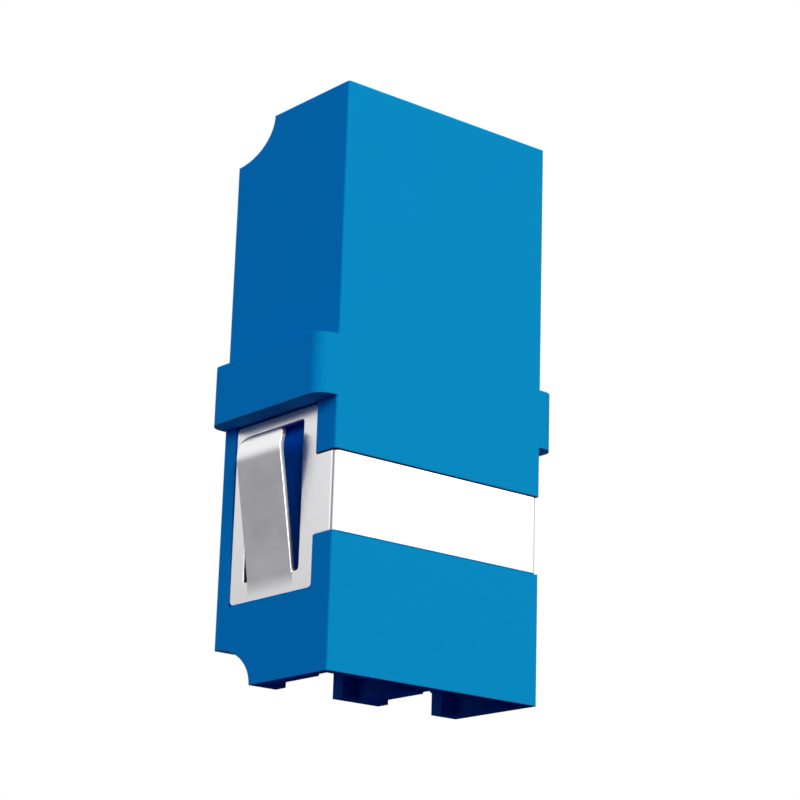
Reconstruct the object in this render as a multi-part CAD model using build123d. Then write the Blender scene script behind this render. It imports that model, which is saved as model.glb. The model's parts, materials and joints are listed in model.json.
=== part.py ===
from build123d import *
from math import cos, radians, sin
import os

# Duplex optical coupler with a sprung panel clip, in millimetres.
# X runs across the two channels and Y from the plain front to the latch side.
# Z runs along the two optical axes, and the origin is the centre of the body.

# Body
body_width = 12.9
body_depth = 9.0
body_length = 29.0
corner_radius = 0.12
scoop_depth = 3.0
scoop_rise = 2.0

# Ears that rest on the panel
ear_reach = 1.05
ear_height = 3.0
ear_radius = 0.8

# Plug channels
channel_pitch = 6.25
front_wall = 0.55
plug_width = 4.56
plug_height = 4.67
stop_plane = 2.0
mouth_width = 5.2
mouth_depth = 3.0
groove_width = 5.79
groove_height = 0.95

# Latch way above each plug: slot, catch pocket and lever slot, and one open well across both
latch_width = 3.42
latch_height = 0.78
catch_height = 1.4
catch_length = 4.1
lever_width = 2.0
lever_height = 1.8
lip_length = 2.9
well_width = 10.75

# Split sleeves that line up the two ferrules
sleeve_bore = 1.246
sleeve_outside = 1.62
sleeve_length = 6.8
sleeve_slit = 0.3

# Sleeve holders, one half moulded on the web and one half on the cap
holder_clearance = 0.08
holder_wall = 0.4
holder_end_play = 0.1
holder_lip = 0.4
lip_bore = 1.56
lead_in = 0.2
cap_plate = 1.2
cap_clearance = 0.05
cap_corner = 0.4

# Sprung clip of folded sheet: a band across the front and a plate on each side
clip_sheet = 0.25
clip_recess = 0.05
clip_clearance = 0.04
clip_bend = 0.1
band_height = 3.88
plate_height = 8.86
plate_width = 6.44
plate_setback = 1.52
plate_below_ear = 0.08
plate_corner = 0.25
plate_to_band = 2.5
frame_top = 0.54
frame_bottom = 0.98
frame_front = 1.05
frame_back = 1.04

# Tongues that lean out of the plates and spring the coupler into its panel
tongue_width = 3.49
tongue_offset = 0.04
tongue_lean = 10.2
tongue_straight = 5.59
tongue_curl_radius = 1.87
tongue_curl_turn = 44.0
tongue_corner = 0.5
tongue_root_gap = 0.03
tongue_pocket_depth = 0.47
tongue_pocket_margin = 0.06

# Worked out from the sizes above
half_length = body_length / 2
front_face = -body_depth / 2
back_face = body_depth / 2
plug_floor = front_face + front_wall
plug_roof = plug_floor + plug_height
axis_y = plug_floor + plug_height / 2
latch_roof = plug_roof + latch_height
lip_outer = half_length - scoop_rise
lip_inner = lip_outer - lip_length
cap_seat = stop_plane - cap_plate
holder_radius = sleeve_outside / 2 + holder_clearance
holder_inner_end = sleeve_length / 2 + holder_end_play
holder_end = holder_inner_end + holder_lip
groove_depth = clip_sheet + clip_recess
clip_half_width = body_width / 2 - clip_recess
clip_front = front_face + clip_recess
ear_bottom = -ear_height / 2
plate_top = ear_bottom - plate_below_ear
plate_bottom = plate_top - plate_height
plate_front = front_face + plate_setback
plate_back = plate_front + plate_width
band_top = plate_top - plate_to_band
band_bottom = band_top - band_height
window_top = plate_top - frame_top
window_bottom = plate_bottom + frame_bottom
window_front = plate_front + frame_front
window_back = plate_back - frame_back
hinge_x = clip_half_width - clip_sheet / 2
hinge_y = (window_front + window_back) / 2 + tongue_offset
hinge_z = window_bottom + tongue_root_gap + clip_sheet / 2


def block(x_from, x_to, y_from, y_to, z_from, z_to):
    """A plain block between two corners."""
    middle = ((x_from + x_to) / 2, (y_from + y_to) / 2, (z_from + z_to) / 2)
    return Pos(*middle) * Box(x_to - x_from, y_to - y_from, z_to - z_from)


def upright_tube(radius, z_from, z_to):
    """A round bar on a channel's optical axis, centred in X."""
    return Pos(0, axis_y, (z_from + z_to) / 2) * Cylinder(radius, z_to - z_from)


def both_channels(shape):
    """The shape on the left and on the right channel."""
    left = Pos(-channel_pitch / 2, 0, 0) * shape
    right = Pos(channel_pitch / 2, 0, 0) * shape
    return [left, right]


def both_ends(shape):
    """The shape at the upper end and mirrored at the lower end."""
    return [shape, mirror(shape, Plane.XY)]


def both_sides(shape):
    """The shape on the right side and mirrored on the left side."""
    return [shape, mirror(shape, Plane.YZ)]


def latch_scoop():
    """The hollow across the latch-side corner where a finger reaches the latches."""
    corner = Plane(origin=(0, back_face, half_length), x_dir=(0, 1, 0), z_dir=(1, 0, 0))
    return extrude(corner * Ellipse(scoop_depth, scoop_rise), amount=body_width, both=True)


def plug_way():
    """One plug opening of the upper end, centred in X, with its wide mouth and latch way."""
    past_end = half_length + 1
    half_plug = plug_width / 2
    half_mouth = mouth_width / 2
    half_groove = groove_width / 2
    half_latch = latch_width / 2
    half_lever = lever_width / 2
    mouth_start = half_length - mouth_depth
    groove_top = plug_floor + groove_height
    way = block(-half_plug, half_plug, plug_floor, plug_roof, stop_plane, past_end)
    way += block(-half_mouth, half_mouth, plug_floor, plug_roof, mouth_start, past_end)
    way += block(-half_groove, half_groove, plug_floor, groove_top, mouth_start, past_end)
    catch_start = lip_inner - catch_length
    catch_roof = latch_roof + catch_height
    lever_roof = latch_roof + lever_height
    way += block(-half_latch, half_latch, axis_y, latch_roof, catch_start, past_end)
    way += block(-half_latch, half_latch, axis_y, catch_roof, catch_start, lip_inner)
    way += block(-half_lever, half_lever, axis_y, lever_roof, catch_start, past_end)
    return way


def latch_well():
    """The open well at the upper end, from which both latches are pressed."""
    half_well = well_width / 2
    return block(-half_well, half_well, latch_roof, back_face + 1, lip_outer, half_length + 1)


def holder_tube(z_from):
    """Half of a sleeve holder on the upper side: a lipped tube with a lead-in."""
    tube = upright_tube(holder_radius + holder_wall, z_from, holder_end)
    lead_cone = Cone(lip_bore / 2, lip_bore / 2 + lead_in, lead_in)
    tube -= Pos(0, axis_y, holder_end - lead_in / 2) * lead_cone
    return tube


def holder_bore(z_from):
    """The hollow in which a sleeve floats, and the narrower hole in the lip."""
    bore = upright_tube(holder_radius, z_from, holder_inner_end)
    bore += upright_tube(lip_bore / 2, z_from, holder_end + 1)
    return bore


def clip_plan(half_width, front, inset, bend_radius, z_from, z_to):
    """A prism with two rounded front corners that reaches back past the plates."""
    outer_half = half_width - inset
    outer_front = front + inset
    reach = plate_front - outer_front + clip_sheet
    centre_y = outer_front + reach
    section = RectangleRounded(2 * outer_half, 2 * reach, bend_radius)
    prism = extrude(Pos(0, centre_y, z_from) * section, amount=z_to - z_from)
    return prism & block(-body_width, body_width, front_face - 1, plate_front, z_from, z_to)


def clip_bed():
    """What the body gives up for the clip: the band's groove and both side pockets."""
    gap = clip_clearance
    deep = body_width / 2 - groove_depth
    past_side = body_width / 2 + 1
    low = band_bottom - gap
    high = band_top + gap
    around = block(-past_side, past_side, front_face - 1, plate_front, low, high)
    core = clip_plan(clip_half_width, clip_front, clip_sheet, clip_bend + gap / 2, low, high)
    bed = [around - core]
    pocket = block(deep, past_side, plate_front - gap, plate_back + gap, plate_bottom - gap, ear_bottom)
    margin = tongue_pocket_margin
    pocket += block(
        deep - tongue_pocket_depth,
        past_side,
        window_front - margin,
        window_back + margin,
        window_bottom - margin,
        window_top + margin,
    )
    return bed + both_sides(pocket)


def make_housing():
    """The moulded body with its ears, four plug openings, web and lower holder halves."""
    section = RectangleRounded(body_width, body_depth, corner_radius)
    ear_section = RectangleRounded(body_width + 2 * ear_reach, body_depth, ear_radius)
    housing = extrude(section, amount=half_length, both=True)
    housing += extrude(ear_section, amount=ear_height / 2, both=True)
    housing -= both_ends(latch_scoop()) + both_ends(latch_well())
    upper_way = plug_way()
    lower_way = mirror(upper_way, Plane.XY)
    half_plug = plug_width / 2
    cap_space = block(-half_plug, half_plug, plug_floor, plug_roof, cap_seat, stop_plane + 1)
    for cut in (upper_way, lower_way, cap_space):
        housing -= both_channels(cut)
    housing += both_channels(mirror(holder_tube(stop_plane), Plane.XY))
    housing -= both_channels(mirror(holder_bore(-cap_seat - 1), Plane.XY))
    housing -= clip_bed()
    return housing


def make_sleeve_cap():
    """The cap that closes one holder from the upper side, centred in X."""
    width = plug_width - 2 * cap_clearance
    height = plug_height - 2 * cap_clearance
    plate = extrude(Pos(0, axis_y, cap_seat) * RectangleRounded(width, height, cap_corner), cap_plate)
    return plate + holder_tube(cap_seat) - holder_bore(cap_seat - 1)


def make_sleeve():
    """One split ceramic sleeve, slit on the latch side, centred in X."""
    half = sleeve_length / 2
    ring = upright_tube(sleeve_outside / 2, -half, half) - upright_tube(sleeve_bore / 2, -half, half)
    slit_back = axis_y + sleeve_outside
    return ring - block(-sleeve_slit / 2, sleeve_slit / 2, axis_y, slit_back, -half, half)


def side_plate():
    """One side plate of the clip on the right, with the window round its tongue."""
    middle_y = (plate_front + plate_back) / 2
    middle_z = (plate_top + plate_bottom) / 2
    inside = Plane(origin=(clip_half_width - clip_sheet, 0, 0), x_dir=(0, 1, 0), z_dir=(1, 0, 0))
    outline = Pos(middle_y, middle_z) * RectangleRounded(plate_width, plate_height, plate_corner)
    window_wide = window_back - window_front
    window_high = window_top - window_bottom
    window_middle = Pos((window_front + window_back) / 2, (window_top + window_bottom) / 2)
    outline -= window_middle * RectangleRounded(window_wide, window_high, plate_corner / 2)
    return extrude(inside * outline, amount=clip_sheet)


def make_clip():
    """The folded clip without its tongues: band, two corner bends and two plates."""
    outer_bend = clip_bend + clip_sheet
    band = clip_plan(clip_half_width, clip_front, 0, outer_bend, band_bottom, band_top)
    band -= clip_plan(clip_half_width, clip_front, clip_sheet, clip_bend, band_bottom, band_top)
    return band + both_sides(side_plate())


def make_tongue():
    """The right tongue: straight lean, inward curl, and a round root on its flexing line."""
    lean = radians(tongue_lean)
    turn = radians(tongue_curl_turn)
    half_sheet = clip_sheet / 2
    root = Vector(hinge_x, hinge_z)
    along = Vector(sin(lean), cos(lean))
    outward = Vector(cos(lean), -sin(lean))
    end_outward = Vector(cos(turn - lean), sin(turn - lean))
    mid_outward = Vector(cos(turn / 2 - lean), sin(turn / 2 - lean))
    bend = root + along * tongue_straight
    centre = bend + outward * (half_sheet - tongue_curl_radius)
    inner_radius = tongue_curl_radius - clip_sheet
    outer_root = root + outward * half_sheet
    inner_root = root - outward * half_sheet
    outer_bend = bend + outward * half_sheet
    inner_bend = bend - outward * half_sheet
    outer_tip = centre + end_outward * tongue_curl_radius
    inner_tip = centre + end_outward * inner_radius
    edges = [
        Line(outer_root, outer_bend),
        ThreePointArc(outer_bend, centre + mid_outward * tongue_curl_radius, outer_tip),
        Line(outer_tip, inner_tip),
        ThreePointArc(inner_tip, centre + mid_outward * inner_radius, inner_bend),
        Line(inner_bend, inner_root),
        ThreePointArc(inner_root, root - along * half_sheet, outer_root),
    ]
    front = hinge_y - tongue_width / 2
    side = Plane(origin=(0, front, 0), x_dir=(1, 0, 0), z_dir=(0, -1, 0))
    strip = extrude(side * make_face(edges), amount=tongue_width, dir=(0, 1, 0))
    face_high = outer_tip.Y - hinge_z + tongue_corner + clip_sheet
    face = Pos(hinge_y, outer_tip.Y - face_high / 2) * RectangleRounded(tongue_width, face_high, tongue_corner)
    outlook = Plane(origin=(0, 0, 0), x_dir=(0, 1, 0), z_dir=(1, 0, 0))
    return strip & extrude(outlook * face, amount=body_width)


sleeve_caps = both_channels(make_sleeve_cap())
sleeves = both_channels(make_sleeve())
tongues = both_sides(make_tongue())

pieces = {
    "housing": make_housing(),
    "mounting_clip": make_clip(),
    "left_tongue": tongues[1],
    "right_tongue": tongues[0],
    "left_sleeve_cap": sleeve_caps[0],
    "right_sleeve_cap": sleeve_caps[1],
    "left_sleeve": sleeves[0],
    "right_sleeve": sleeves[1],
}

os.makedirs("parts", exist_ok=True)
for name, piece in pieces.items():
    export_step(piece, os.path.join("parts", name + ".step"))
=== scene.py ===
import json
from math import cos, pi, radians, sin, tan

import bpy
import numpy as np
from bpy.props import FloatProperty, FloatVectorProperty, PointerProperty
from mathutils import Matrix, Vector


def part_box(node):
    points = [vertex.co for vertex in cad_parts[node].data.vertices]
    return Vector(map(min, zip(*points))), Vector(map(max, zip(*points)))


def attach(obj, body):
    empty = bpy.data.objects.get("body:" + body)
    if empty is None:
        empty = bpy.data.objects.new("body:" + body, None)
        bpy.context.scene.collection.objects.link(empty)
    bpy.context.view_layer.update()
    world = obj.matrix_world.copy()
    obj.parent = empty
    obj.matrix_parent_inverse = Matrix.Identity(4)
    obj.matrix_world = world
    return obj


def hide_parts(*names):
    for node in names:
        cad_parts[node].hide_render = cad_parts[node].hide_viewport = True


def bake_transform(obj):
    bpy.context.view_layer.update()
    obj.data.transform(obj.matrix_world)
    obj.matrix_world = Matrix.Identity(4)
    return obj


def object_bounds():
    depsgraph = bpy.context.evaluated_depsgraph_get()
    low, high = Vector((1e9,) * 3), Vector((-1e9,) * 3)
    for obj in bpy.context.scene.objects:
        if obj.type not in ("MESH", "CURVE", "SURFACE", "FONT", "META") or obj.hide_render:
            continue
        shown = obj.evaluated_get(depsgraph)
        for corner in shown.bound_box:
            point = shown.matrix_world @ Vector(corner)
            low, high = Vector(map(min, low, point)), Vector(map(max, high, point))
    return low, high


bl_info = {
    "name": "Duplex fibre coupler",
    "version": (1, 0, 0),
    "blender": (4, 5, 0),
    "location": "3D View > Sidebar > Coupler",
    "description": "Folded steel clip, finishes and studio for a duplex fibre coupler",
    "category": "Object",
}

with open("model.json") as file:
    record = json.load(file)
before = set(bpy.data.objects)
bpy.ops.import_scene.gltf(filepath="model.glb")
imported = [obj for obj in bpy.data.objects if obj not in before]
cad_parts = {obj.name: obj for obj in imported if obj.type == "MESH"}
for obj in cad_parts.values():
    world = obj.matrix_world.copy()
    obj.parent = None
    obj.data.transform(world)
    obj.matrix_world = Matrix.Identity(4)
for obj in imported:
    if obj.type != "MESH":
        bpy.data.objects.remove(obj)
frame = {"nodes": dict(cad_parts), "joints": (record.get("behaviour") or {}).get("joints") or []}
cad_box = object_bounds()
clip_low, clip_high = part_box("mounting_clip")
tongue_low, tongue_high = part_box("right_tongue")
hinges = {joint["child"]: Vector(joint["pos_m"]) for joint in frame["joints"]}

MM = 0.001
CLOSE = 1e-9
SHARP_ANGLE = radians(60)

# Grid lines nearer to each other than this are one line.
SAME_LINE = 1e-8
# Where a rim has grid lines, as shares of its radius.
RIM_SHARES = (0, 0.3, 1.0, 1.7)
# Numbers of steps round a corner, and of grid lines across each part of the blanks.
CORNER_STEPS = 8
TIP_STEPS = 10
FRONT_LINES = 12
BEND_LINES = 31
EDGE_LINES = 3
BAND_LINES = 7
ROOT_LINES = 6
TONGUE_LINES = 7
RUN_LINES = 13
CURL_LINES = 11
# The two painted reflection lines along a corner bend, dark lines that stand in for
# reflections there: place round the bend, reach and fading on each side, all in degrees, and depth.
PAINTED_REFLECTION_LINES = ((60, 10, 5, 1.0), (29, 6.4, 4, 0.85))

# Most values of a noise lie in this span.
NOISE_SPAN = (0.3, 0.7)
# The Mix node's first value and its result, by number, because their names repeat.
MIX_SOCKETS = {"FLOAT": (2, 0), "RGBA": (6, 2)}

# The direction in which each lamp stands, and its width and height.
LAMPS = {
    "key_lamp": ((-0.12, -0.94, 0.3), (0.6, 0.3)),
    "side_lamp": ((-0.96, 0.15, 0.32), (0.65, 0.3)),
    "back_lamp": ((0.55, 0.8, 0.35), (0.5, 0.3)),
    "top_lamp": ((0, 0.1, 1), (0.4, 0.4)),
    "sheen_lamp": ((0.604, -0.743, 0.26), (0.46, 0.46)),
}
LAMP_DISTANCE = 0.5
FLOOR_RADIUS = 0.4
FLOOR_FADE = (0.05, 0.35)
SENSOR_WIDTH = 36
# Spans of a direction's Z or X over which the surroundings change, and the levels
# that they take there in reflections.
SKY_RISE = (-0.02, 0.3)
MIRRORED_RISE, MIRRORED_LEVELS = (-0.03, 0.35), (0.15, 1.2)
LEFT_SPAN, LEFT_LEVELS = (-0.68, -0.85), (1.0, 1.4)


def linear(hex_code):
    """Linear colour of an sRGB hex code, with full alpha."""
    levels = np.array([int(hex_code[i:i + 2], 16) for i in (1, 3, 5)]) / 255
    low = levels / 12.92
    high = ((levels + 0.055) / 1.055) ** 2.4
    return (*np.where(levels <= 0.04045, low, high).tolist(), 1.0)


# Sizes and colours that a user may change


class CouplerSizes(bpy.types.PropertyGroup):
    """Sizes of the clip and its tongues."""

    sheet: FloatProperty(
        name="Sheet", description="Thickness of the spring steel",
        default=0.25 * MM, unit="LENGTH", precision=5,
    )
    inner_bend: FloatProperty(
        name="Inside bend", description="Inside radius of the two corner bends",
        default=0.1 * MM, unit="LENGTH", precision=5,
    )
    rim: FloatProperty(
        name="Rim", description="Radius that tumbling leaves on the punched edges",
        default=0.04 * MM, unit="LENGTH", precision=5,
    )
    band_top: FloatProperty(
        name="Band top", description="Height of the front band's upper edge",
        default=-4.08 * MM, unit="LENGTH", precision=5,
    )
    band_bottom: FloatProperty(
        name="Band bottom", description="Height of the front band's lower edge",
        default=-7.96 * MM, unit="LENGTH", precision=5,
    )
    plate_front: FloatProperty(
        name="Plate front", description="Place of a side plate's front edge in Y",
        default=-2.98 * MM, unit="LENGTH", precision=5,
    )
    plate_corner: FloatProperty(
        name="Plate corner", description="Corner radius of a side plate",
        default=0.25 * MM, unit="LENGTH", precision=5,
    )
    window_front: FloatProperty(
        name="Window front", description="Place of the window's front edge in Y",
        default=-1.93 * MM, unit="LENGTH", precision=5,
    )
    window_back: FloatProperty(
        name="Window back", description="Place of the window's back edge in Y",
        default=2.42 * MM, unit="LENGTH", precision=5,
    )
    window_top: FloatProperty(
        name="Window top", description="Height of the window's upper edge",
        default=-2.12 * MM, unit="LENGTH", precision=5,
    )
    window_bottom: FloatProperty(
        name="Window bottom", description="Height of the slots' lower ends",
        default=-9.46 * MM, unit="LENGTH", precision=5,
    )
    window_corner: FloatProperty(
        name="Window corner", description="Corner radius of the window and the slots",
        default=0.18 * MM, unit="LENGTH", precision=5,
    )
    root_bend: FloatProperty(
        name="Root bend", description="Half of the length over which a tongue leaves its plate",
        default=0.5 * MM, unit="LENGTH", precision=5,
    )
    root_drop: FloatProperty(
        name="Root drop", description="How far below the joint the middle of the root bend lies",
        default=0.4 * MM, unit="LENGTH", precision=5,
    )
    lean: FloatProperty(
        name="Lean", description="Angle at which a tongue leans out",
        default=radians(9.52), unit="ROTATION",
    )
    straight: FloatProperty(
        name="Straight", description="Length of a tongue from its root to its curl",
        default=5.98 * MM, unit="LENGTH", precision=5,
    )
    curl_radius: FloatProperty(
        name="Curl radius", description="Outside radius of the curl at a tongue's tip",
        default=1.87 * MM, unit="LENGTH", precision=5,
    )
    curl_turn: FloatProperty(
        name="Curl turn", description="Angle through which a tongue's tip curls in",
        default=radians(44), unit="ROTATION",
    )
    tip_corner: FloatProperty(
        name="Tip corner", description="Corner radius of a tongue's tip in the flat blank",
        default=0.55 * MM, unit="LENGTH", precision=5,
    )


class CouplerColours(bpy.types.PropertyGroup):
    """Colours of the finishes."""

    plastic: FloatVectorProperty(
        name="Housing blue", description="Colour of the moulded housing",
        default=linear("#0092C0"), size=4, subtype="COLOR", min=0, max=1,
    )
    plastic_deep: FloatVectorProperty(
        name="Housing deep blue", description="Deeper tint that clouds the housing's colour",
        default=linear("#008DBC"), size=4, subtype="COLOR", min=0, max=1,
    )
    # Painted shade: the deeper blue that the housing's colour takes where ambient occlusion is
    # high, in its recesses and under its ears.
    plastic_recess_shade: FloatVectorProperty(
        name="Housing blue in recesses",
        description="Blue that the housing takes deep in its recesses",
        default=linear("#005CC4"), size=4, subtype="COLOR", min=0, max=1,
    )
    steel: FloatVectorProperty(
        name="Steel", description="Colour of the clip's steel",
        default=linear("#E2E1E2"), size=4, subtype="COLOR", min=0, max=1,
    )
    steel_line: FloatVectorProperty(
        name="Steel line", description="Darker tint along the rolling lines",
        default=linear("#DAD9DB"), size=4, subtype="COLOR", min=0, max=1,
    )
    # Painted reflection: colour of the dark lines along the corner bends, which stand in for
    # reflections there.
    steel_painted_reflection: FloatVectorProperty(
        name="Tool mark", description="Colour of the burnished lines along the corner bends",
        default=linear("#77777A"), size=4, subtype="COLOR", min=0, max=1,
    )
    steel_edge: FloatVectorProperty(
        name="Sheared edge", description="Colour of the sheet's punched edges",
        default=linear("#A09FA1"), size=4, subtype="COLOR", min=0, max=1,
    )
    steel_edge_deep: FloatVectorProperty(
        name="Sheared edge, torn", description="Darker tint of the torn part of the punched edges",
        default=linear("#868588"), size=4, subtype="COLOR", min=0, max=1,
    )
    ceramic: FloatVectorProperty(
        name="Ceramic", description="Colour of the split sleeves",
        default=linear("#F3F0E6"), size=4, subtype="COLOR", min=0, max=1,
    )
    floor: FloatVectorProperty(
        name="Floor", description="Colour of the studio floor",
        default=linear("#F6F4EF"), size=4, subtype="COLOR", min=0, max=1,
    )


class CouplerStudio(bpy.types.PropertyGroup):
    """Camera and lamps."""

    camera_place: FloatVectorProperty(
        name="Camera place", description="Where the camera stands",
        default=(-72.347 * MM, -90.179 * MM, -34.097 * MM), size=3, unit="LENGTH", precision=5,
    )
    camera_heading: FloatProperty(
        name="Camera heading", description="Angle of the view from +Y towards +X",
        default=radians(39.1214), unit="ROTATION",
    )
    camera_rise: FloatProperty(
        name="Camera rise", description="Angle of the view above the horizon",
        default=radians(16.7071), unit="ROTATION",
    )
    camera_roll: FloatProperty(
        name="Camera roll", description="Turn of the camera about its view",
        default=radians(1.747), unit="ROTATION",
    )
    camera_lens: FloatProperty(
        name="Camera lens", description="Focal length on a 36 mm sensor, in millimetres",
        default=108.6325, min=10, max=400,
    )
    key_power: FloatProperty(
        name="Key lamp", description="Power of the large lamp in front",
        default=2.64, unit="POWER", min=0,
    )
    side_power: FloatProperty(
        name="Side lamp", description="Power of the large cool lamp at the left",
        default=1.04, unit="POWER", min=0,
    )
    back_power: FloatProperty(
        name="Back lamp", description="Power of the large lamp behind the object on the right",
        default=1.73, unit="POWER", min=0,
    )
    top_power: FloatProperty(
        name="Top lamp", description="Power of the large lamp overhead",
        default=1.2, unit="POWER", min=0,
    )
    sheen_power: FloatProperty(
        name="Sheen lamp",
        description="Power of the smaller lamp at the front right, which shows in reflections only",
        default=0.72, unit="POWER", min=0,
    )
    sky_level: FloatProperty(
        name="Sky level", description="Brightness of the studio above the floor",
        default=0.25, min=0, max=2,
    )
    ground_level: FloatProperty(
        name="Ground level", description="Brightness of the studio below the horizon",
        default=0.12, min=0, max=2,
    )
    cool: FloatVectorProperty(
        name="Cool tint",
        description="Faintly cool colour of the side lamp and of the light from all round",
        default=linear("#9CB3FF"), size=4, subtype="COLOR", min=0, max=1,
    )
    deep: FloatVectorProperty(
        name="Deep tint",
        description="Deep blue of the faint light from below, which the undersides take",
        default=linear("#3A6EFF"), size=4, subtype="COLOR", min=0, max=1,
    )


# Sheet metal: a flat blank on a grid, folded along a path


def box_distance(u, v, u_span, v_span, corner=0.0):
    """Signed distance to a rounded rectangle, negative inside.

    It is the length of what reaches past the corner centres, plus the lesser
    depth inside them, less the corner radius.
    """
    over_u = abs(u - sum(u_span) / 2) - (u_span[1] - u_span[0]) / 2 + corner
    over_v = abs(v - sum(v_span) / 2) - (v_span[1] - v_span[0]) / 2 + corner
    outside = np.hypot(np.maximum(over_u, 0), np.maximum(over_v, 0))
    return outside + np.minimum(np.maximum(over_u, over_v), 0) - corner


def rim_steps(rim):
    """Distances from an edge at which its rounding, and the flat beside it, have grid lines."""
    return np.array(RIM_SHARES) * rim


def corner_steps(corner, rim, count=CORNER_STEPS):
    """Distances from an edge at which a rounded corner has grid lines.

    Equal angles give radius x (1 - sine). Each distance d needs its partner
    radius - root(2 radius d - d^2), so that the arc runs through grid points.
    """
    even = corner * (1 - np.sin(np.linspace(0, pi / 2, count + 1)))
    near = np.concatenate([even, rim_steps(rim)])
    partner = corner - np.sqrt(np.clip(2 * corner * near - near**2, 0, None))
    return np.concatenate([near, partner])


def grid_lines(*groups):
    """All the lines in order, each once."""
    lines = np.sort(np.concatenate([np.atleast_1d(group).ravel() for group in groups]))
    apart = np.concatenate([[True], np.diff(lines) > SAME_LINE])
    return lines[apart]


def blank_faces(columns, rows, metal):
    """Faces of a flat blank on a grid.

    A cell stays whole where its four corners and its middle are metal, and
    stays as a triangle where a rounded corner cuts off its fourth corner.
    """
    u, v = (grid.ravel() for grid in np.meshgrid(columns, rows, indexing="ij"))
    index = np.arange(u.size).reshape(len(columns), len(rows))
    cells = np.stack([index[:-1, :-1], index[1:, :-1], index[1:, 1:], index[:-1, 1:]], axis=-1)
    cells = cells.reshape(-1, 4)
    kept = metal(u, v)[cells]
    whole = kept.all(axis=1) & metal(u[cells].mean(axis=1), v[cells].mean(axis=1))
    cut = kept.sum(axis=1) == 3
    missing = np.argmin(kept[cut], axis=1)
    order = (missing[:, None] + np.arange(1, 4)) % 4
    triangles = np.take_along_axis(cells[cut], order, axis=1)
    real = metal(u[triangles].mean(axis=1), v[triangles].mean(axis=1))
    return u, v, cells[whole], triangles[real]


def rim_height(depth, sheet, rim):
    """Half of the sheet's thickness at a depth inside a punched edge.

    It follows a quarter circle over the rim's radius.
    """
    short = rim - np.clip(depth, 0, rim)
    return sheet / 2 - rim + np.sqrt(np.clip(rim**2 - short**2, 0, None))


def thick_sheet(name, middle, outward, half, quads, triangles, painted_reflection=None):
    """A closed sheet: middle plus and minus outward x half, with walls along every open edge.

    An edge is open where only one face has it. The walls take the second
    material. The last argument is the depth of the painted reflection lines at each
    point, dark lines that stand in for reflections in the corner bends, and is kept as an
    attribute.
    """
    count = len(middle)
    edges = [quads[:, [i, (i + 1) % 4]] for i in range(4)]
    edges += [triangles[:, [i, (i + 1) % 3]] for i in range(3)]
    edges = np.concatenate(edges)
    ends = np.sort(edges, axis=1)
    keys = ends[:, 0] * count + ends[:, 1]
    _, place, times = np.unique(keys, return_inverse=True, return_counts=True)
    open_edges = edges[times[place] == 1]
    walls = np.column_stack([open_edges, open_edges[:, ::-1] + count])[:, [0, 3, 2, 1]]
    four = np.concatenate([quads, quads[:, ::-1] + count, walls])
    three = np.concatenate([triangles, triangles[:, ::-1] + count])
    across = outward * half[:, None]
    points = np.concatenate([middle + across, middle - across])
    used = np.unique(np.concatenate([four.ravel(), three.ravel()]))
    renumber = np.zeros(len(points), int)
    renumber[used] = np.arange(len(used))
    mesh = bpy.data.meshes.new(name)
    faces = renumber[four].tolist() + renumber[three].tolist()
    mesh.from_pydata(points[used].tolist(), [], faces)
    sheared = np.zeros(len(four) + len(three), np.int32)
    sheared[2 * len(quads):len(four)] = 1
    mesh.polygons.foreach_set("material_index", sheared)
    painted_reflections = np.tile(np.zeros(count) if painted_reflection is None else painted_reflection, 2)[used]
    mesh.attributes.new("tool_mark", "FLOAT", "POINT").data.foreach_set("value", painted_reflections)
    mesh.shade_smooth()
    mesh.set_sharp_from_angle(angle=SHARP_ANGLE)
    piece = bpy.data.objects.new(name, mesh)
    bpy.context.scene.collection.objects.link(piece)
    even = piece.modifiers.new("flat faces keep their normals", "WEIGHTED_NORMAL")
    even.keep_sharp = True
    return piece


def root_span(sizes):
    """The height at which the tongues start in their plates, and both their sides in Y."""
    start = hinges["right_tongue"].z - sizes.root_drop - sizes.root_bend
    return start, (tongue_low.y, tongue_high.y)


def corner_bend(sizes):
    """A corner bend's outside radius, its middle radius, and the half width of the flat front."""
    outer_bend = sizes.inner_bend + sizes.sheet
    return outer_bend, sizes.inner_bend + sizes.sheet / 2, clip_high.x - outer_bend


def fold_path(s, sizes):
    """The clip's middle line in X and Y, and its outward direction.

    s is the length from the middle of the straight front. Past the front, the
    bend's angle is what is left of s over the bend's radius, up to a quarter
    turn, and the rest of s runs back along Y.
    """
    outer_bend, radius, front = corner_bend(sizes)
    reach = abs(s)
    turned = np.clip((reach - front) / radius, 0, pi / 2)
    back = np.maximum(reach - front - radius * pi / 2, 0)
    side = np.sign(s)
    x = side * (np.minimum(reach, front) + radius * np.sin(turned))
    y = clip_low.y + outer_bend - radius * np.cos(turned) + back
    return x, y, side * np.sin(turned), -np.cos(turned)


def painted_reflection_depths(s, sizes):
    """How deep the painted reflection lines are at the length s along the folded clip.

    Each line has its full depth along its middle, and fades to 0 at its reach. The lines
    are dark colour painted into the steel, and stand in for reflections in the corner bends.
    """
    radius, front = corner_bend(sizes)[1:]
    turned = np.degrees((abs(s) - front) / radius)
    return np.max([
        depth * np.clip((reach - abs(turned - place)) / fading, 0, 1)
        for place, reach, fading, depth in PAINTED_REFLECTION_LINES
    ], axis=0)


def developed(y, sizes):
    """Length along the folded clip at which a side reaches the place y."""
    outer_bend, radius, front = corner_bend(sizes)
    return front + radius * pi / 2 + y - clip_low.y - outer_bend


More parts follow.
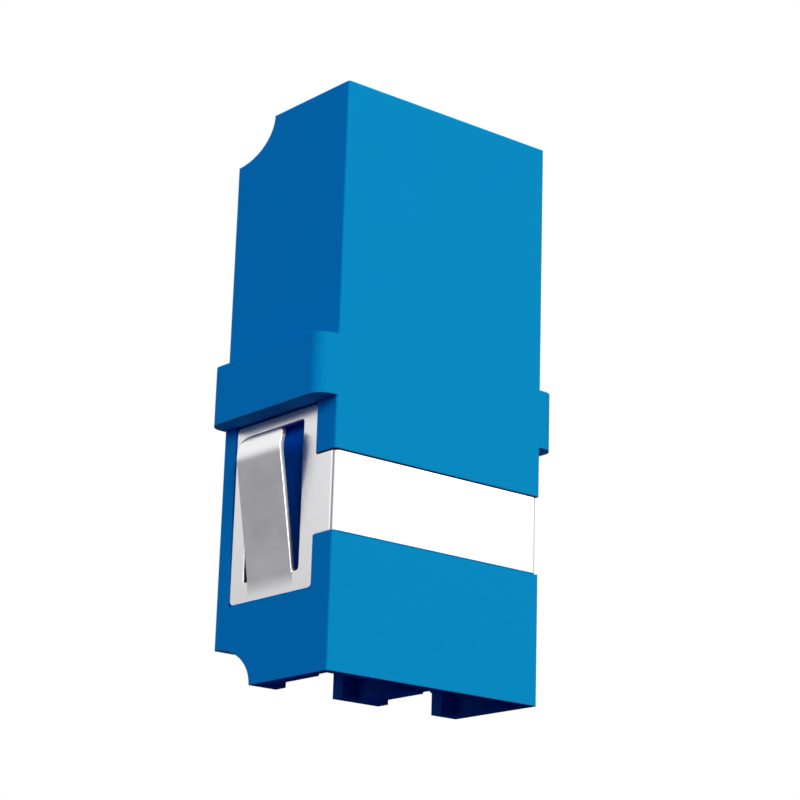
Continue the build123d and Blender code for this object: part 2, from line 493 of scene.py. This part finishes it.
def clip_surface(sizes):
    """The clip in one folded sheet, less its tongues.

    The blank is a long band joined to two rounded plates. Each plate has a
    window, two slots beside the tongue and a notch that the tongue's root
    fills. The slots have round ends and run up into the window. Points map to
    the fold path, and the sheet thins over the rim radius at every punched
    edge.
    """
    rim = sizes.rim
    corner = sizes.window_corner
    start, tongue = root_span(sizes)
    plate = (developed(sizes.plate_front, sizes), developed(clip_high.y, sizes))
    plate_z = (clip_low.z, clip_high.z)
    window = (developed(sizes.window_front, sizes), developed(sizes.window_back, sizes))
    root = (developed(tongue[0], sizes), developed(tongue[1], sizes))
    window_z = (sizes.window_bottom, sizes.window_top)
    slot_z = (sizes.window_bottom, sizes.window_bottom + 6 * corner)
    open_z = (sizes.window_bottom + 2 * corner, sizes.window_top)
    band_z = (sizes.band_bottom, sizes.band_top)

    def outer(u, v):
        joined = box_distance(u, v, plate, plate_z, sizes.plate_corner)
        band = box_distance(u, v, (-plate[0] - corner, plate[0] + corner), band_z)
        return np.minimum(joined, band)

    def window_edge(u, v):
        full = box_distance(u, v, window, (open_z[0] - 4 * corner, open_z[1]), corner)
        full = np.maximum(full, open_z[0] - v)
        near = box_distance(u, v, (window[0], root[0]), slot_z, corner)
        far = box_distance(u, v, (root[1], window[1]), slot_z, corner)
        return np.minimum(full, np.minimum(near, far))

    def notch(u, v):
        return box_distance(u, v, root, (start, open_z[0] + corner))

    def metal(u, v):
        u = abs(u)
        solid = (outer(u, v) <= CLOSE) & (window_edge(u, v) >= -CLOSE)
        return solid & (notch(u, v) >= -CLOSE)

    wide = corner_steps(sizes.plate_corner, rim)
    tight = corner_steps(corner, rim)
    outer_bend, _, bend_start = corner_bend(sizes)
    bend_end = developed(clip_low.y + outer_bend, sizes)
    half = grid_lines(
        np.linspace(0, bend_start, FRONT_LINES),
        np.linspace(bend_start, bend_end, BEND_LINES),
        np.linspace(bend_end, plate[0], EDGE_LINES),
        plate[0] + wide, plate[1] - wide,
        window[0] + tight, window[1] - tight, root[0] - tight, root[1] + tight,
        window[0] - rim_steps(rim), window[1] + rim_steps(rim),
        np.linspace(root[0], root[1], ROOT_LINES),
    )
    columns = grid_lines(-half, half)
    rows = grid_lines(
        plate_z[0] + wide, plate_z[1] - wide,
        window_z[0] + tight, window_z[1] - tight,
        window_z[0] - rim_steps(rim), window_z[1] + rim_steps(rim),
        band_z[0] + rim_steps(rim), band_z[1] - rim_steps(rim),
        start, open_z[0], open_z[0] + corner, slot_z[1],
        np.linspace(band_z[0], band_z[1], BAND_LINES),
    )
    u, v, quads, triangles = blank_faces(columns, rows, metal)
    x, y, out_x, out_y = fold_path(u, sizes)
    depth = np.minimum(-outer(abs(u), v), window_edge(abs(u), v))
    middle = np.column_stack([x, y, v])
    outward = np.column_stack([out_x, out_y, np.zeros_like(u)])
    half_sheet = rim_height(depth, sizes.sheet, rim)
    # Depth of the painted reflection lines, which stand in for reflections in the corner bends.
    painted_reflections = painted_reflection_depths(u, sizes)
    return thick_sheet("folded_clip", middle, outward, half_sheet, quads, triangles, painted_reflections)


def tongue_parts(sizes):
    """The parts of a tongue's middle line.

    They are its root bend's radius and length, its straight length and its
    curl's radius.
    """
    root_radius = sizes.root_bend / tan(sizes.lean / 2)
    straight = sizes.straight - sizes.root_bend
    return root_radius, root_radius * sizes.lean, straight, sizes.curl_radius - sizes.sheet / 2


def tongue_path(length, sizes):
    """The right tongue's middle line in X and Z, and its outward direction.

    It rises in the plate's plane, turns out to its lean on a wide root bend,
    runs straight, and curls in on the tip's radius. Each bend adds radius x
    (difference of cosines, difference of sines) of the direction.
    """
    root_radius, rooted, straight, curl = tongue_parts(sizes)
    leaning = np.clip(length, 0, rooted) / root_radius
    run = np.clip(length - rooted, 0, straight)
    curled = np.clip(length - rooted - straight, 0, None) / curl
    heading = leaning - curled
    x = hinges["right_tongue"].x + root_radius * (1 - np.cos(leaning)) + run * sin(sizes.lean)
    x = x + curl * (np.cos(sizes.lean - curled) - cos(sizes.lean))
    z = root_span(sizes)[0] + root_radius * np.sin(leaning) + run * cos(sizes.lean)
    z = z + curl * (sin(sizes.lean) - np.sin(sizes.lean - curled))
    return x, z, np.cos(heading), -np.sin(heading)


def tongue_surface(name, side, sizes):
    """One tongue with its root: a strip with two rounded tip corners, bent along the tongue path.

    side is 1 on the right and -1 on the left. The rim is rounded along the
    free sides and tip, and square where the root meets its plate.
    """
    rim = sizes.rim
    start, across = root_span(sizes)
    _, rooted, straight, curl = tongue_parts(sizes)
    straight_end = rooted + straight
    end = straight_end + curl * sizes.curl_turn
    free = sizes.window_bottom - start

    def outline(u, v):
        return box_distance(u, v, across, (-end, end), sizes.tip_corner)

    def metal(u, v):
        return (outline(u, v) <= CLOSE) & (v >= -CLOSE)

    tip = corner_steps(sizes.tip_corner, rim, TIP_STEPS)
    columns = grid_lines(across[0] + tip, across[1] - tip, np.linspace(*across, TONGUE_LINES))
    rows = grid_lines(
        np.linspace(0, rooted, RUN_LINES), free - rim_steps(rim), free + rim_steps(rim),
        np.linspace(rooted, straight_end, RUN_LINES),
        np.linspace(straight_end, end - sizes.tip_corner, CURL_LINES), end - tip,
    )
    u, v, quads, triangles = blank_faces(columns, rows, metal)
    depth = np.hypot(np.maximum(-outline(u, v), 0), np.maximum(free - v, 0))
    x, z, out_x, out_z = tongue_path(v, sizes)
    middle = np.column_stack([side * x, u, z])
    outward = np.column_stack([side * out_x, np.zeros_like(u), out_z])
    if side < 0:
        quads, triangles = quads[:, ::-1], triangles[:, ::-1]
    half_sheet = rim_height(depth, sizes.sheet, rim)
    return thick_sheet(name, middle, outward, half_sheet, quads, triangles)


# Finishes


def add_node(tree, kind, inputs=None, **settings):
    """Adds a node with its settings.

    An input is a value, or a pair of a node and its output's name.
    """
    node = tree.nodes.new(kind)
    for name, value in settings.items():
        setattr(node, name, value)
    for name, value in (inputs or {}).items():
        if isinstance(value, tuple) and isinstance(value[0], bpy.types.Node):
            tree.links.new(value[0].outputs[value[1]], node.inputs[name])
        else:
            node.inputs[name].default_value = value
    return node


def noise(tree, place, size, detail):
    """Noise with features of one size."""
    inputs = {"Vector": place, "Scale": 1 / size, "Detail": detail}
    return add_node(tree, "ShaderNodeTexNoise", inputs), "Fac"


def level_lines(tree, place, length, apart, detail):
    """Noise drawn out into level lines, of a length and a distance apart."""
    inputs = {"Vector": place, "Scale": (1 / length, 1 / length, 1 / apart)}
    stretch = add_node(tree, "ShaderNodeMapping", inputs, vector_type="POINT")
    return noise(tree, (stretch, "Vector"), size=1.0, detail=detail)


def mixed(tree, factor, low, high, kind="RGBA"):
    """low where the factor is 0 and high where it is 1: colours, or numbers of kind FLOAT."""
    first, result = MIX_SOCKETS[kind]
    inputs = {0: factor, first: low, first + 1: high}
    return add_node(tree, "ShaderNodeMix", inputs, data_type=kind), result


def ranged(tree, value, span, to=(0.0, 1.0), interpolation="LINEAR"):
    """The value carried from one span to another, and held at the other's ends."""
    inputs = {
        "Value": value, "From Min": span[0], "From Max": span[1], "To Min": to[0], "To Max": to[1],
    }
    return add_node(tree, "ShaderNodeMapRange", inputs, interpolation_type=interpolation), "Result"


def computed(tree, operation, first, second):
    """The result of one operation on two numbers."""
    return add_node(tree, "ShaderNodeMath", {0: first, 1: second}, operation=operation), "Value"


def relief(tree, height, strength, distance, **inputs):
    """The surface's direction, roughened by a height."""
    inputs.update({"Height": height, "Strength": strength, "Distance": distance})
    return add_node(tree, "ShaderNodeBump", inputs), "Normal"


def new_material(name):
    """An empty material with its node tree and object coordinates."""
    material = bpy.data.materials.new(name)
    material.use_nodes = True
    material.node_tree.nodes.clear()
    place = add_node(material.node_tree, "ShaderNodeTexCoord")
    return material, material.node_tree, (place, "Object")


def show(tree, inputs):
    """Gives a material its main shader with these inputs."""
    shader = add_node(tree, "ShaderNodeBsdfPrincipled", inputs)
    add_node(tree, "ShaderNodeOutputMaterial", {"Surface": (shader, "BSDF")})


def moulded_pbt(colours):
    """Injection-moulded PBT from a spark-eroded mould: an even, satin, slightly clouded blue, with
    painted shade of deeper blue in its recesses.
    """
    material, tree, place = new_material("moulded_pbt_blue")
    # Real spark-erosion grain is near 0.05 mm and is drawn at 0.12 mm, so that it shows.
    grain = noise(tree, place, size=0.12 * MM, detail=2.0)
    # Pigment and flow clouds are a few millimetres across.
    cloud = noise(tree, place, size=5 * MM, detail=3.0)
    clouded = mixed(tree, cloud, tuple(colours.plastic_deep), tuple(colours.plastic))
    # Painted shade: the colour turns a deeper blue where ambient occlusion within 4 mm is high, in
    # the recesses and under the ears, standing in for shade there.
    occlusion = add_node(tree, "ShaderNodeAmbientOcclusion", {"Distance": 4 * MM}, samples=6)
    unshaded_share = ranged(tree, (occlusion, "AO"), span=(0.25, 0.75))
    tint = mixed(tree, unshaded_share, tuple(colours.plastic_recess_shade), clouded)
    gloss = ranged(tree, grain, NOISE_SPAN, to=(0.56, 0.66))
    soft_edge = add_node(tree, "ShaderNodeBevel", {"Radius": 0.05 * MM}, samples=4)
    bump = relief(tree, grain, strength=0.15, distance=0.01 * MM, Normal=(soft_edge, "Normal"))
    show(tree, {
        "Base Color": tint, "Roughness": gloss, "Normal": bump,
        "IOR": 1.45, "Specular IOR Level": 0.03,
    })
    return material


def rolled_steel(colours):
    """Bright rolled and tumbled stainless spring steel.

    Its soft reflections are drawn out across the rolling lines.
    """
    material, tree, place = new_material("rolled_spring_steel")
    # The lines run level round the clip. Real ones are near 0.02 mm apart, and these are
    # drawn at 0.09 mm, so that they show.
    line = level_lines(tree, place, length=4 * MM, apart=0.09 * MM, detail=3.0)
    cloud = noise(tree, place, size=1.5 * MM, detail=2.0)
    rolled = mixed(tree, line, tuple(colours.steel_line), tuple(colours.steel))
    # Painted reflections: two dark lines along each corner bend stand in for reflections in the
    # bend.
    painted_reflection = add_node(tree, "ShaderNodeAttribute", attribute_name="tool_mark")
    tint = mixed(tree, (painted_reflection, "Fac"), rolled, tuple(colours.steel_painted_reflection))
    gloss = ranged(tree, cloud, NOISE_SPAN, to=(0.24, 0.27))
    bump = relief(tree, line, strength=0.03, distance=0.01 * MM)
    show(tree, {"Base Color": tint, "Roughness": gloss, "Normal": bump, "Metallic": 1.0})
    return material


def sheared_steel(colours):
    """The punched edge of the same sheet: a dull, torn, finely grained grey."""
    material, tree, place = new_material("sheared_steel_edge")
    # The grain of the tear is near 0.02 mm and is drawn at 0.08 mm, so that it shows.
    tear = noise(tree, place, size=0.08 * MM, detail=3.0)
    tint = mixed(tree, tear, tuple(colours.steel_edge_deep), tuple(colours.steel_edge))
    gloss = ranged(tree, tear, NOISE_SPAN, to=(0.42, 0.55))
    bump = relief(tree, tear, strength=0.2, distance=0.01 * MM)
    show(tree, {"Base Color": tint, "Roughness": gloss, "Normal": bump, "Metallic": 1.0})
    return material


def ground_zirconia(colours):
    """Ground and lapped zirconia: a dense, faintly warm white.

    It has a hard gloss and fine rings round the axis.
    """
    material, tree, place = new_material("ground_zirconia")
    # Grinding rings are near 0.01 mm apart and are drawn at 0.06 mm, so that they show.
    ring = level_lines(tree, place, length=3 * MM, apart=0.06 * MM, detail=2.0)
    gloss = ranged(tree, ring, NOISE_SPAN, to=(0.12, 0.22))
    bump = relief(tree, ring, strength=0.08, distance=0.005 * MM)
    show(tree, {
        "Base Color": tuple(colours.ceramic), "Roughness": gloss, "Normal": bump, "IOR": 2.15,
        "Subsurface Weight": 0.15, "Subsurface Radius": (1.0, 0.9, 0.7),
        "Subsurface Scale": 0.2 * MM,
    })
    return material


def pale_floor(colours):
    """Pale studio floor, seen from above only and fading into the white round it."""
    material, tree, place = new_material("pale_floor")
    inputs = {"Color": tuple(colours.floor), "Roughness": 1.0}
    shade = add_node(tree, "ShaderNodeBsdfDiffuse", inputs)
    clear = add_node(tree, "ShaderNodeBsdfTransparent")
    far = add_node(tree, "ShaderNodeVectorMath", {0: place}, operation="LENGTH")
    fade = ranged(tree, (far, "Value"), FLOOR_FADE, interpolation="SMOOTHSTEP")
    below = add_node(tree, "ShaderNodeNewGeometry")
    hidden = computed(tree, "MAXIMUM", fade, (below, "Backfacing"))
    inputs = {0: hidden, 1: (shade, "BSDF"), 2: (clear, "BSDF")}
    faded = add_node(tree, "ShaderNodeMixShader", inputs)
    add_node(tree, "ShaderNodeOutputMaterial", {"Surface": (faded, "Shader")})
    return material


# Operators


class COUPLER_OT_folded_clip(bpy.types.Operator):
    """Build the folded clip: front band, two corner bends and two side plates"""

    bl_idname = "coupler.folded_clip"
    bl_label = "Folded clip"

    def execute(self, context):
        clip = clip_surface(context.scene.coupler_sizes)
        steel_finish(clip, context.scene.coupler_colours)
        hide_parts("mounting_clip")
        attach(clip, "coupler")
        return {"FINISHED"}


class COUPLER_OT_tongues(bpy.types.Operator):
    """Build the two sprung tongues, which bend at their roots in the side plates"""

    bl_idname = "coupler.tongues"
    bl_label = "Sprung tongues"

    def execute(self, context):
        sizes = context.scene.coupler_sizes
        for body, side in (("left_tongue", -1), ("right_tongue", 1)):
            tongue = tongue_surface(body + "_strip", side, sizes)
            steel_finish(tongue, context.scene.coupler_colours)
            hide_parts(body)
            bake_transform(tongue)
        return {"FINISHED"}


class COUPLER_OT_plastic_finish(bpy.types.Operator):
    """Give the housing and the sleeve caps their moulded finish"""

    bl_idname = "coupler.plastic_finish"
    bl_label = "Moulded plastic"

    def execute(self, context):
        plastic = moulded_pbt(context.scene.coupler_colours)
        finish(plastic, "housing", "left_sleeve_cap", "right_sleeve_cap")
        return {"FINISHED"}


class COUPLER_OT_sleeve_finish(bpy.types.Operator):
    """Give the split sleeves their ground ceramic finish"""

    bl_idname = "coupler.sleeve_finish"
    bl_label = "Ceramic sleeves"

    def execute(self, context):
        finish(ground_zirconia(context.scene.coupler_colours), "left_sleeve", "right_sleeve")
        return {"FINISHED"}


class COUPLER_OT_studio(bpy.types.Operator):
    """Set up the floor, the lamps, the white surroundings and the camera"""

    bl_idname = "coupler.studio"
    bl_label = "Studio"

    def execute(self, context):
        studio = context.scene.coupler_studio
        floor = floor_disc(cad_box[0].z, FLOOR_RADIUS)
        floor.data.materials.append(pale_floor(context.scene.coupler_colours))
        add_lamp("key_lamp", studio.key_power)
        side = add_lamp("side_lamp", studio.side_power)
        side.data.color = studio.cool[:3]
        side.visible_glossy = False
        back = add_lamp("back_lamp", studio.back_power)
        back.visible_glossy = False
        add_lamp("top_lamp", studio.top_power)
        sheen = add_lamp("sheen_lamp", studio.sheen_power)
        sheen.visible_diffuse = False
        surround(context.scene, studio)
        place_camera(context.scene, studio)
        context.scene.view_settings.view_transform = "Standard"
        return {"FINISHED"}


def steel_finish(piece, colours):
    """Gives a piece the clip's steel and its sheared edge, each made once and shared."""
    kept = bpy.data.materials
    piece.data.materials.append(kept.get("rolled_spring_steel") or rolled_steel(colours))
    piece.data.materials.append(kept.get("sheared_steel_edge") or sheared_steel(colours))


def finish(material, *nodes):
    """Puts the material in every slot of the nodes."""
    for node in nodes:
        for slot in frame["nodes"][node].material_slots:
            slot.material = material


def floor_disc(height, radius):
    """A flat disc under the object, of points at radius x (cosine, sine) round its centre."""
    spokes, rings = 64, 12
    turn = np.linspace(0, 2 * pi, spokes, endpoint=False)
    reach = np.linspace(0, radius, rings + 1)[1:]
    points = np.full((1 + rings * spokes, 3), [0.0, 0.0, height])
    points[1:, 0] = np.outer(reach, np.cos(turn)).ravel()
    points[1:, 1] = np.outer(reach, np.sin(turn)).ravel()
    index = 1 + np.arange(rings * spokes).reshape(rings, spokes)
    after = np.roll(index, -1, axis=1)
    quads = np.stack([index[:-1], index[1:], after[1:], after[:-1]], axis=-1).reshape(-1, 4)
    centre = np.column_stack([np.zeros(spokes, int), index[0], after[0]])
    mesh = bpy.data.meshes.new("floor")
    mesh.from_pydata(points.tolist(), [], quads.tolist() + centre.tolist())
    floor = bpy.data.objects.new("floor", mesh)
    bpy.context.scene.collection.objects.link(floor)
    floor.visible_diffuse = False
    floor.visible_shadow = False
    return floor


def add_lamp(name, power):
    """A soft lamp that faces the object from its place in the table of lamps."""
    direction, size = LAMPS[name]
    direction = Vector(direction)
    lamp = bpy.data.lights.new(name, "AREA")
    lamp.shape = "RECTANGLE"
    lamp.size, lamp.size_y = size
    lamp.energy = power
    body = bpy.data.objects.new(name, lamp)
    body.location = direction.normalized() * LAMP_DISTANCE
    body.rotation_euler = direction.to_track_quat("Z", "Y").to_euler()
    bpy.context.scene.collection.objects.link(body)
    return body


def surround(scene, studio):
    """White to the camera, and a soft studio to light and to reflections.

    Light comes brightest from above, and faint and deep blue from below.
    Reflections see a brighter sky, brightest of all at the left.
    """
    world = bpy.data.worlds.new("studio")
    world.use_nodes = True
    tree = world.node_tree
    tree.nodes.clear()
    way = add_node(tree, "ShaderNodeTexCoord")
    split = add_node(tree, "ShaderNodeSeparateXYZ", {"Vector": (way, "Generated")})
    rise = ranged(tree, (split, "Z"), SKY_RISE, interpolation="SMOOTHSTEP")
    light = mixed(tree, rise, studio.ground_level, studio.sky_level, kind="FLOAT")
    hue = mixed(tree, rise, tuple(studio.deep), tuple(studio.cool))
    mirrored = ranged(tree, (split, "Z"), MIRRORED_RISE, MIRRORED_LEVELS, "SMOOTHSTEP")
    left = ranged(tree, (split, "X"), LEFT_SPAN, LEFT_LEVELS, "SMOOTHSTEP")
    lit_left = computed(tree, "MULTIPLY", mirrored, left)
    ray = add_node(tree, "ShaderNodeLightPath")
    to_camera = (ray, "Is Camera Ray")
    # The metal passes only the plain light on to the plastic round it.
    straight = computed(tree, "LESS_THAN", (ray, "Diffuse Depth"), 0.5)
    glossy = computed(tree, "MULTIPLY", (ray, "Is Glossy Ray"), straight)
    shiny = mixed(tree, glossy, light, lit_left, kind="FLOAT")
    level = mixed(tree, to_camera, shiny, 1.0, kind="FLOAT")
    seen = computed(tree, "MAXIMUM", to_camera, glossy)
    tint = mixed(tree, seen, hue, (1, 1, 1, 1))
    glow = add_node(tree, "ShaderNodeBackground", {"Color": tint, "Strength": level})
    add_node(tree, "ShaderNodeOutputWorld", {"Surface": (glow, "Background")})
    scene.world = world


def place_camera(scene, studio):
    """The camera from its place, heading, rise and roll.

    It looks along (sine, cosine) of the heading, lifted by the rise.
    """
    heading, rise, roll = studio.camera_heading, studio.camera_rise, studio.camera_roll
    forward = Vector((sin(heading) * cos(rise), cos(heading) * cos(rise), sin(rise)))
    level = Vector((cos(heading), -sin(heading), 0))
    upright = level.cross(forward)
    right = level * cos(roll) + upright * sin(roll)
    up = right.cross(forward)
    lens = bpy.data.cameras.new("camera")
    lens.lens = studio.camera_lens
    lens.sensor_width = SENSOR_WIDTH
    lens.clip_start = 1 * MM
    lens.clip_end = 10
    camera = bpy.data.objects.new("camera", lens)
    turn = Matrix((right, up, -forward)).transposed().to_4x4()
    camera.matrix_world = Matrix.Translation(studio.camera_place) @ turn
    scene.collection.objects.link(camera)
    scene.camera = camera


class COUPLER_PT_panel(bpy.types.Panel):
    """Lists the coupler's steps, sizes and colours"""

    bl_idname = "COUPLER_PT_panel"
    bl_label = "Duplex fibre coupler"
    bl_space_type = "VIEW_3D"
    bl_region_type = "UI"
    bl_category = "Coupler"

    def draw(self, context):
        scene = context.scene
        steps = self.layout.column(align=True)
        for operator in OPERATORS:
            steps.operator(operator.bl_idname, text=operator.bl_label)
        for group in (scene.coupler_sizes, scene.coupler_colours, scene.coupler_studio):
            box = self.layout.box()
            for name in group.__annotations__:
                box.prop(group, name)


OPERATORS = (
    COUPLER_OT_folded_clip,
    COUPLER_OT_tongues,
    COUPLER_OT_plastic_finish,
    COUPLER_OT_sleeve_finish,
    COUPLER_OT_studio,
)
CLASSES = (CouplerSizes, CouplerColours, CouplerStudio, *OPERATORS, COUPLER_PT_panel)


def register():
    for item in CLASSES:
        bpy.utils.register_class(item)
    bpy.types.Scene.coupler_sizes = PointerProperty(type=CouplerSizes)
    bpy.types.Scene.coupler_colours = PointerProperty(type=CouplerColours)
    bpy.types.Scene.coupler_studio = PointerProperty(type=CouplerStudio)


def unregister():
    del bpy.types.Scene.coupler_studio
    del bpy.types.Scene.coupler_colours
    del bpy.types.Scene.coupler_sizes
    for item in reversed(CLASSES):
        bpy.utils.unregister_class(item)


def main():
    """Runs the steps in order."""
    register()
    bpy.ops.coupler.folded_clip()
    bpy.ops.coupler.tongues()
    bpy.ops.coupler.plastic_finish()
    bpy.ops.coupler.sleeve_finish()
    bpy.ops.coupler.studio()


if __name__ == "__main__":
    main()
